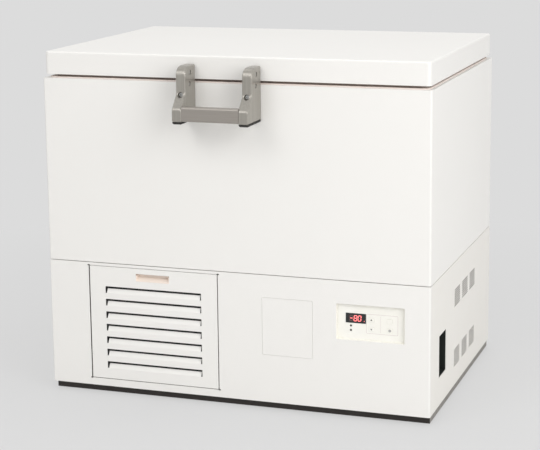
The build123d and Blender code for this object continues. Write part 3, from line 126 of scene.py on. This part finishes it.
# Material building
class Finish:
    """A node material with its shader, object-space coordinates and a bump chain."""

    def __init__(self, name, colour, roughness, metallic=0.0, coat=0.0):
        self.material = bpy.data.materials.new(name)
        self.material.use_nodes = True
        self.nodes = self.material.node_tree.nodes
        self.links = self.material.node_tree.links
        self.shader = self.nodes["Principled BSDF"]
        self.shader.inputs["Base Color"].default_value = colour
        self.shader.inputs["Roughness"].default_value = roughness
        self.shader.inputs["Metallic"].default_value = metallic
        self.shader.inputs["Coat Weight"].default_value = coat
        self.colour = colour
        self.place = self.nodes.new("ShaderNodeTexCoord").outputs["Object"]
        self.normal = None

    def stretched(self, scale):
        mapping = self.nodes.new("ShaderNodeMapping")
        mapping.inputs["Scale"].default_value = scale
        self.links.new(self.place, mapping.inputs["Vector"])
        return mapping.outputs["Vector"]

    def noise(self, size, detail=3.0, stretch=(1, 1, 1)):
        """Noise whose cells are about the given size in metres."""
        node = self.nodes.new("ShaderNodeTexNoise")
        node.inputs["Scale"].default_value = 1 / size
        node.inputs["Detail"].default_value = detail
        self.links.new(self.stretched(stretch), node.inputs["Vector"])
        return node.outputs["Fac"]

    def ramp(self, value, low, high, start, end):
        """Maps a value from low..high to start..end."""
        node = self.nodes.new("ShaderNodeMapRange")
        node.inputs["From Min"].default_value = low
        node.inputs["From Max"].default_value = high
        node.inputs["To Min"].default_value = start
        node.inputs["To Max"].default_value = end
        self.links.new(value, node.inputs["Value"])
        return node.outputs["Result"]

    def tint(self, factor, colour):
        """Mixes another colour into the base colour by a factor."""
        mix = self.nodes.new("ShaderNodeMix")
        mix.data_type = "RGBA"
        base = self.shader.inputs["Base Color"]
        if base.is_linked:
            self.links.new(base.links[0].from_socket, mix.inputs[mix_first])
        else:
            mix.inputs[mix_first].default_value = self.colour
        mix.inputs[mix_second].default_value = colour
        self.links.new(factor, mix.inputs[mix_factor])
        self.links.new(mix.outputs[mix_result], base)

    def vary_roughness(self, value, smooth, rough):
        """Moves the roughness between two values as a noise rises."""
        roughness = self.ramp(value, low=0.3, high=0.7, start=smooth, end=rough)
        self.links.new(roughness, self.shader.inputs["Roughness"])

    def patches(self, size, detail, limits, share, colour):
        """Tints by up to a share where noise of the given size rises between two limits."""
        low, high = limits
        self.tint(self.ramp(self.noise(size, detail), low, high, start=0.0, end=share), colour)

    def bump(self, height, depth, strength):
        """Adds a bump of the given depth in metres."""
        node = self.nodes.new("ShaderNodeBump")
        node.inputs["Distance"].default_value = depth
        node.inputs["Strength"].default_value = strength
        self.links.new(height, node.inputs["Height"])
        if self.normal:
            self.links.new(self.normal, node.inputs["Normal"])
        self.normal = node.outputs["Normal"]
        self.links.new(self.normal, self.shader.inputs["Normal"])


def powder_coat(name, colour, shade, share, cloud, patch, roughness, coat):
    """Paint with faint clouds of a second shade, slow changes of gloss and a fine grain."""
    finish = Finish(name, colour, sum(roughness) / 2, coat=coat)
    finish.patches(size=cloud, detail=2, limits=(0.35, 0.7), share=share, colour=shade)
    finish.vary_roughness(finish.noise(size=patch), *roughness)
    finish.bump(finish.noise(size=0.0024, detail=2), depth=0.00001, strength=0.35)
    return finish.material


def brushed_metal(name, colour, shade, share, metallic, grain, stretch, depth):
    """Satin metal with fine lines along the stretched direction."""
    finish = Finish(name, colour, roughness=0.32, metallic=metallic)
    lines = finish.noise(size=grain, detail=1, stretch=stretch)
    finish.tint(finish.ramp(lines, low=0.35, high=0.65, start=0.0, end=share), shade)
    finish.vary_roughness(lines, smooth=0.28, rough=0.36)
    finish.bump(lines, depth, strength=0.3)
    return finish.material


def metal(name, colour, roughness, grain=0.003, stretch=(1, 1, 1)):
    finish = Finish(name, colour, roughness, metallic=0.9)
    grain_noise = finish.noise(size=grain, detail=4, stretch=stretch)
    finish.vary_roughness(grain_noise, smooth=roughness * 0.8, rough=roughness * 1.25)
    finish.bump(grain_noise, depth=0.00003, strength=0.4)
    finish.patches(size=0.04, detail=3, limits=(0.4, 0.75), share=0.5, colour=scaled(colour, factor=0.7))
    return finish.material


def plastic(name, colour, roughness, coat=0.0):
    finish = Finish(name, colour, roughness, coat=coat)
    finish.vary_roughness(finish.noise(size=0.02), smooth=roughness * 0.85, rough=roughness * 1.15)
    finish.bump(finish.noise(size=0.0008, detail=2), depth=0.00003, strength=0.4)
    lighter = scaled(colour, factor=1.35, lift=0.01)
    finish.patches(size=0.05, detail=3, limits=(0.45, 0.8), share=0.25, colour=lighter)
    return finish.material


def pull_plastic():
    """Ivory, with painted shadow: a brown band along the top of the recess, where the slit lies in shade.
    """
    finish = Finish("pull_plastic", linear(252, 239, 227), roughness=0.5)
    parts = finish.nodes.new("ShaderNodeSeparateXYZ")
    whole = finish.nodes.new("ShaderNodeTexCoord").outputs["Generated"]
    finish.links.new(whole, parts.inputs["Vector"])
    # Painted shadow of the slit: the top of the cup is tinted brown.
    painted_slit_shadow = finish.ramp(parts.outputs["Z"], low=0.66, high=0.8, start=0.0, end=0.8)
    finish.tint(painted_slit_shadow, linear(150, 118, 98))
    return finish.material


def rubber(name, colour):
    finish = Finish(name, colour, roughness=0.75)
    finish.bump(finish.noise(size=0.0012, detail=3), depth=0.00006, strength=0.5)
    lighter = scaled(colour, factor=1.5, lift=0.01)
    finish.patches(size=0.03, detail=3, limits=(0.45, 0.8), share=0.3, colour=lighter)
    return finish.material


def galvanised():
    finish = Finish("galvanised_rail", linear(150, 145, 139), roughness=0.5, metallic=0.45)
    spangle = finish.noise(size=0.012, detail=2)
    finish.tint(finish.ramp(spangle, low=0.4, high=0.65, start=0.0, end=0.5), linear(128, 124, 119))
    finish.vary_roughness(spangle, smooth=0.4, rough=0.6)
    finish.bump(finish.noise(size=0.003), depth=0.00005, strength=0.3)
    return finish.material


def rough_matt(name, colour, shade, share, limits, grain, patch, depth, strength):
    """A dull, open surface such as foam or a woven mat."""
    finish = Finish(name, colour, roughness=0.9)
    finish.bump(finish.noise(size=grain, detail=4), depth, strength)
    finish.patches(size=patch, detail=3, limits=limits, share=share, colour=shade)
    return finish.material


def glowing(name, colour, strength):
    finish = Finish(name, colour, roughness=0.4)
    finish.shader.inputs["Emission Color"].default_value = colour
    finish.shader.inputs["Emission Strength"].default_value = strength
    return finish.material


def painted_finishes():
    return {
        "white_paint": powder_coat("white_powder_coat", linear(243, 241, 237), linear(241, 239, 235),
                                   share=0.35, cloud=0.35, patch=0.05, roughness=(0.4, 0.44), coat=0.08),
        "warm_white": powder_coat("warm_powder_coat", linear(240, 237, 231), linear(237, 234, 227),
                                  share=0.3, cloud=0.4, patch=0.06, roughness=(0.4, 0.5), coat=0.05),
        "dark_paint": plastic("dark_enamel", linear(34, 27, 22), 0.5),
    }


def metal_finishes():
    return {
        "grey_steel": galvanised(),
        "handle_metal": brushed_metal("handle_satin_grey", linear(164, 160, 152), linear(143, 139, 132),
                                      share=0.45, metallic=0.45, grain=0.0036, stretch=(1, 1, 0.02),
                                      depth=0.00003),
        "handle_bar": brushed_metal("handle_bar_grey", linear(156, 150, 143), linear(146, 140, 134),
                                    share=0.3, metallic=0.35, grain=0.004, stretch=(0.02, 1, 1),
                                    depth=0.00002),
        "bright_steel": metal("bright_steel", linear(190, 190, 188), 0.3),
        "tank_steel": metal("tank_steel", linear(198, 198, 194), 0.32, grain=0.002, stretch=(1, 1, 0.04)),
        "copper": metal("copper_tube", linear(196, 128, 96), 0.35, grain=0.004),
        "fin_metal": metal("fin_metal", linear(198, 198, 198), 0.4),
    }


def plastic_finishes():
    return {
        "black_plastic": plastic("black_plastic", linear(27, 32, 28), 0.55),
        "cream_plastic": plastic("cream_plastic", linear(248, 246, 238), 0.45),
        "grey_plastic": plastic("grey_plastic", linear(176, 176, 174), 0.5),
        "collar": plastic("collar_plastic", linear(236, 223, 216), 0.5),
        "pull": pull_plastic(),
        "board_green": plastic("board_green", linear(38, 92, 58), 0.45),
        "display_glass": plastic("display_glass", linear(52, 24, 24), 0.15, coat=0.6),
        "display_black": plastic("display_black", linear(22, 30, 30), 0.35, coat=0.2),
        "lamp": plastic("lamp_lens", linear(58, 56, 52), 0.25, coat=0.4),
    }


def soft_finishes():
    return {
        "black_rubber": rubber("black_rubber", linear(46, 44, 42)),
        "gasket_rubber": rubber("gasket_rubber", linear(172, 156, 148)),
        "foam": rough_matt("insulation_foam", linear(222, 202, 142), linear(198, 172, 108), share=0.5,
                           limits=(0.4, 0.7), grain=0.004, patch=0.03, depth=0.0006, strength=0.6),
        "filter_weave": rough_matt("filter_weave", linear(60, 60, 62), linear(110, 108, 105), share=0.6,
                                   limits=(0.4, 0.6), grain=0.002, patch=0.004, depth=0.0008, strength=0.8),
    }


def print_finishes():
    return {
        "digit_lit": glowing("digit_red", linear(255, 128, 128), 1.0),
        "digit_off": plastic("digit_off", linear(92, 74, 72), 0.3),
        "print_pale": plastic("print_pale", linear(214, 200, 198), 0.5),
        "print_grey": plastic("print_grey", linear(178, 177, 174), 0.5),
        "print_dark": plastic("print_dark", linear(70, 72, 72), 0.5),
    }


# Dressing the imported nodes

# Bevel width of each softened node, in metres
soft_edges = {
    "cabinet_shell": 0.0009, "lid_shell": 0.0008, "base_front_panel": 0.0006, "base_side_right": 0.0006,
    "base_side_left": 0.0006, "base_rear_panel": 0.0006, "filter_grille": 0.0004, "recorder_cover": 0.0004,
    "handle_arms": 0.0008, "handle_bar": 0.0008, "breaker_collar": 0.0008, "control_tray": 0.0005,
    "display_module": 0.0004, "switch_cup": 0.0005, "kick_plate": 0.0005, "base_frame": 0.0012,
    "rear_spacers": 0.001, "machine_deck": 0.0005,
}

# Nodes that wear another finish than the one of their slot
own_finish = {
    "handle_bar": "handle_bar",
    "base_side_right": "warm_white",
    "base_side_left": "warm_white",
    "base_rear_panel": "warm_white",
    "breaker_collar": "collar",
    "finger_pull": "pull",
    # The dark enamel on the machine deck and condenser brackets is painted shade: it makes the compartment
    # dark behind the side vents.
    "machine_deck": "dark_paint",
    "condenser_brackets": "dark_paint",
}


def dress_nodes(materials):
    slots = {entry["node"]: entry["material_slot"] for entry in frame["record"]["subparts"]}
    for name, node in frame["nodes"].items():
        for slot in node.material_slots:
            slot.material = materials[own_finish.get(name, slots[name])]
        if name in soft_edges:
            soften(node, soft_edges[name])


def soften(node, width):
    bevel = node.modifiers.new("soft_edges", "BEVEL")
    bevel.width = width
    bevel.segments = bevel_segments
    bevel.limit_method = "ANGLE"
    bevel.angle_limit = bevel_angle
    bevel.harden_normals = True


# Flat printed and lit marks
def flat_mesh(name, loops, y, material, body="cabinet"):
    """Thin flat shapes that face the front, each from a list of (x, z) corners."""
    shape = bmesh.new()
    for loop in loops:
        face = shape.faces.new([shape.verts.new((x, y, z)) for x, z in loop])
        face.normal_update()
        if face.normal.y > 0:
            face.normal_flip()
    mesh = bpy.data.meshes.new(name)
    shape.to_mesh(mesh)
    shape.free()
    mesh.materials.append(material)
    mark = bpy.data.objects.new(name, mesh)
    bpy.context.scene.collection.objects.link(mark)
    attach(mark, body)


def rounded_corners(x, z, radius):
    """The (x, z) corners of a rounded rectangle between two (low, high) ranges."""
    centres = ((x[1] - radius, z[1] - radius), (x[0] + radius, z[1] - radius),
               (x[0] + radius, z[0] + radius), (x[1] - radius, z[0] + radius))
    points = []
    for quarter, (centre_u, centre_v) in enumerate(centres):
        for step in range(corner_steps + 1):
            angle = (quarter + step / corner_steps) * pi / 2
            points.append((centre_u + radius * cos(angle), centre_v + radius * sin(angle)))
    return points


def outline_ring(x, z, radius, width):
    """The quads of a printed line round a rounded rectangle."""
    outer = rounded_corners(x, z, radius)
    inner = rounded_corners((x[0] + width, x[1] - width), (z[0] + width, z[1] - width), radius - width)
    count = len(outer)
    return [[outer[i], outer[(i + 1) % count], inner[(i + 1) % count], inner[i]] for i in range(count)]


def even_polygon(centre, radius, corners, turn=0.0):
    """The (x, z) corners of a triangle, or of a disc where there are many."""
    angles = [turn + 2 * pi * i / corners for i in range(corners)]
    return [(centre[0] + radius * cos(angle), centre[1] + radius * sin(angle)) for angle in angles]


def middle_of(node):
    """The middle of a node, seen from the front, as (x, z)."""
    low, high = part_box(node)
    return (low.x + high.x) / 2, (low.z + high.z) / 2


# Display
digit_bars = {
    "-": ("middle",),
    "8": ("top", "middle", "bottom", "upper_left", "upper_right", "lower_left", "lower_right"),
    "0": ("top", "bottom", "upper_left", "upper_right", "lower_left", "lower_right"),
}


def bar_corners(left, bottom, which):
    """The six corners of one bar of a seven-bar digit."""
    half = digit_height / 2
    right = left + digit_width
    places = {
        "top": (left, bottom + digit_height), "middle": (left, bottom + half), "bottom": (left, bottom),
        "upper_left": (left, bottom + half), "upper_right": (right, bottom + half),
        "lower_left": (left, bottom), "lower_right": (right, bottom),
    }
    x, z = places[which]
    gap = digit_bar * digit_gap
    side = digit_bar / 2
    if which in ("top", "middle", "bottom"):
        end = x + digit_width
        points = [(x + gap, z), (x + side, z + side), (end - side, z + side),
                  (end - gap, z), (end - side, z - side), (x + side, z - side)]
    else:
        end = z + half
        points = [(x, z + gap), (x + side, z + side), (x + side, end - side),
                  (x, end - gap), (x - side, end - side), (x - side, z + side)]
    return [(u + (v - bottom) * digit_slant, v) for u, v in points]


def display_digits(lit, unlit):
    """A lit reading over the bars that are off."""
    low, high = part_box("display_window")
    y = low.y - print_lift
    total = digit_width + (len(reading) - 1) * digit_pitch
    start = (low.x + high.x - total) / 2
    bottom = (low.z + high.z - digit_height) / 2
    lit_loops, unlit_loops = [], []
    for index, digit in enumerate(reading):
        for which in digit_bars["8"]:
            loops = lit_loops if which in digit_bars[digit] else unlit_loops
            loops.append(bar_corners(start + index * digit_pitch, bottom, which))
    flat_mesh("digits_lit", lit_loops, y, lit)
    flat_mesh("digits_off", unlit_loops, y, unlit)
    display_low, display_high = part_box("display_module")
    dot = even_polygon((display_high.x - dot_inset, display_low.z + dot_rise), dot_radius, circle_corners)
    flat_mesh("display_dot", [dot], display_low.y - print_lift, lit)


# Keypad printing
def keypad_frame(line):
    """The printed frame round the keys, with a divider between its halves."""
    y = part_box("control_overlay")[0].y - print_lift
    display_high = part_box("display_module")[1]
    x = (display_high.x + keypad_gap, middle_of("key_alarm")[0] + keypad_beyond)
    z = (middle_of("key_set")[1] - keypad_below, display_high.z + keypad_gap)
    flat_mesh("keypad_frame", outline_ring(x, z, keypad_corner, print_line), y, line)
    across = (middle_of("key_up")[0] + middle_of("key_alarm")[0]) / 2
    divider_x = (across - print_line / 2, across + print_line / 2)
    divider_z = (z[0] + divider_inset, z[1] - divider_inset)
    divider = outline_ring(divider_x, divider_z, print_line / 2, print_line / 3)
    flat_mesh("keypad_divider", divider, y, line)


def key_marks(arrow_ink, disc_ink):
    """Arrows on the up and down keys and a disc on the set key. Each rides its key."""
    for key, turn in (("up", pi / 2), ("down", -pi / 2)):
        arrow = even_polygon(middle_of("key_" + key), arrow_radius, 3, turn)
        flat_mesh("mark_" + key, [arrow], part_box("key_" + key)[0].y - print_lift, arrow_ink, key + "_key")
    disc = even_polygon(middle_of("key_set"), set_mark_radius, circle_corners)
    flat_mesh("mark_set", [disc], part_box("key_set")[0].y - print_lift, disc_ink, "set_key")


def build():
    dress_nodes({**painted_finishes(), **metal_finishes(), **plastic_finishes(), **soft_finishes()})
    inks = print_finishes()
    display_digits(inks["digit_lit"], inks["digit_off"])
    keypad_frame(inks["print_pale"])
    key_marks(inks["print_dark"], inks["print_grey"])


# Surroundings
def background_rays(nodes, links):
    """One for rays that should meet the even background: seen directly, in metal or through glass."""
    path = nodes.new("ShaderNodeLightPath")
    chosen = path.outputs["Is Camera Ray"]
    for kind in ("Is Glossy Ray", "Is Transmission Ray"):
        either = nodes.new("ShaderNodeMath")
        either.operation = "MAXIMUM"
        links.new(chosen, either.inputs[0])
        links.new(path.outputs[kind], either.inputs[1])
        chosen = either.outputs[0]
    return chosen


def pale_ground():
    """A matt floor that is seen evenly lit, with part of its own light and shadow near the object."""
    material = bpy.data.materials.new("pale_ground")
    material.use_nodes = True
    nodes = material.node_tree.nodes
    links = material.node_tree.links
    matt = nodes["Principled BSDF"]
    matt.inputs["Base Color"].default_value = backdrop_grey + (1.0,)
    matt.inputs["Roughness"].default_value = floor_roughness
    even = nodes.new("ShaderNodeEmission")
    even.inputs["Color"].default_value = backdrop_grey + (1.0,)
    seen = nodes.new("ShaderNodeMixShader")
    distance = nodes.new("ShaderNodeVectorMath")
    distance.operation = "LENGTH"
    links.new(nodes.new("ShaderNodeNewGeometry").outputs["Position"], distance.inputs[0])
    fade = nodes.new("ShaderNodeMapRange")
    fade.inputs["From Min"].default_value = shade_near
    fade.inputs["From Max"].default_value = shade_far
    fade.inputs["To Min"].default_value = floor_shade
    fade.inputs["To Max"].default_value = 0.0
    links.new(distance.outputs["Value"], fade.inputs["Value"])
    links.new(fade.outputs["Result"], seen.inputs[0])
    links.new(even.outputs[0], seen.inputs[1])
    links.new(matt.outputs[0], seen.inputs[2])
    chosen = nodes.new("ShaderNodeMixShader")
    links.new(background_rays(nodes, links), chosen.inputs[0])
    links.new(matt.outputs[0], chosen.inputs[1])
    links.new(seen.outputs[0], chosen.inputs[2])
    links.new(chosen.outputs[0], nodes["Material Output"].inputs["Surface"])
    return material


def stage():
    material = pale_ground()
    mesh = bpy.data.meshes.new("floor")
    low, high = -floor_reach, floor_reach
    mesh.from_pydata([(low, low, 0), (high, low, 0), (high, high, 0), (low, high, 0)],
                     [], [(0, 1, 2, 3)])
    mesh.materials.append(material)
    floor = bpy.data.objects.new("floor", mesh)
    bpy.context.scene.collection.objects.link(floor)


def area_light(name, place, target, size, power):
    data = bpy.data.lights.new(name, "AREA")
    data.shape = "DISK"
    data.size = size
    data.energy = power
    light = bpy.data.objects.new(name, data)
    light.location = place
    light.rotation_euler = (Vector(target) - Vector(place)).to_track_quat("-Z", "Y").to_euler()
    bpy.context.scene.collection.objects.link(light)


def lights():
    for name, settings in lamps.items():
        area_light(name, **settings)


def world():
    background = bpy.data.worlds.new("studio")
    background.use_nodes = True
    bpy.context.scene.world = background
    nodes = background.node_tree.nodes
    links = background.node_tree.links
    shade = nodes["Background"]
    shade.inputs["Color"].default_value = (1, 1, 1, 1)
    shade.inputs["Strength"].default_value = world_strength
    seen = nodes.new("ShaderNodeBackground")
    seen.inputs["Color"].default_value = backdrop_grey + (1.0,)
    mix = nodes.new("ShaderNodeMixShader")
    links.new(background_rays(nodes, links), mix.inputs[0])
    links.new(shade.outputs[0], mix.inputs[1])
    links.new(seen.outputs[0], mix.inputs[2])
    links.new(mix.outputs[0], nodes["World Output"].inputs["Surface"])


def camera():
    data = bpy.data.cameras.new("camera")
    data.sensor_fit = "HORIZONTAL"
    data.sensor_width = sensor_width
    data.lens = focal_pixels / image_width * sensor_width
    data.shift_x = (image_width / 2 - centre_x) / image_width
    data.shift_y = (centre_y - image_height / 2) / image_width
    eye = bpy.data.objects.new("camera", data)
    eye.location = camera_place
    eye.rotation_euler = Euler(camera_turn, "XYZ")
    bpy.context.scene.collection.objects.link(eye)
    bpy.context.scene.camera = eye


build()
stage()
lights()
world()
camera()
bpy.context.scene.view_settings.view_transform = "Standard"
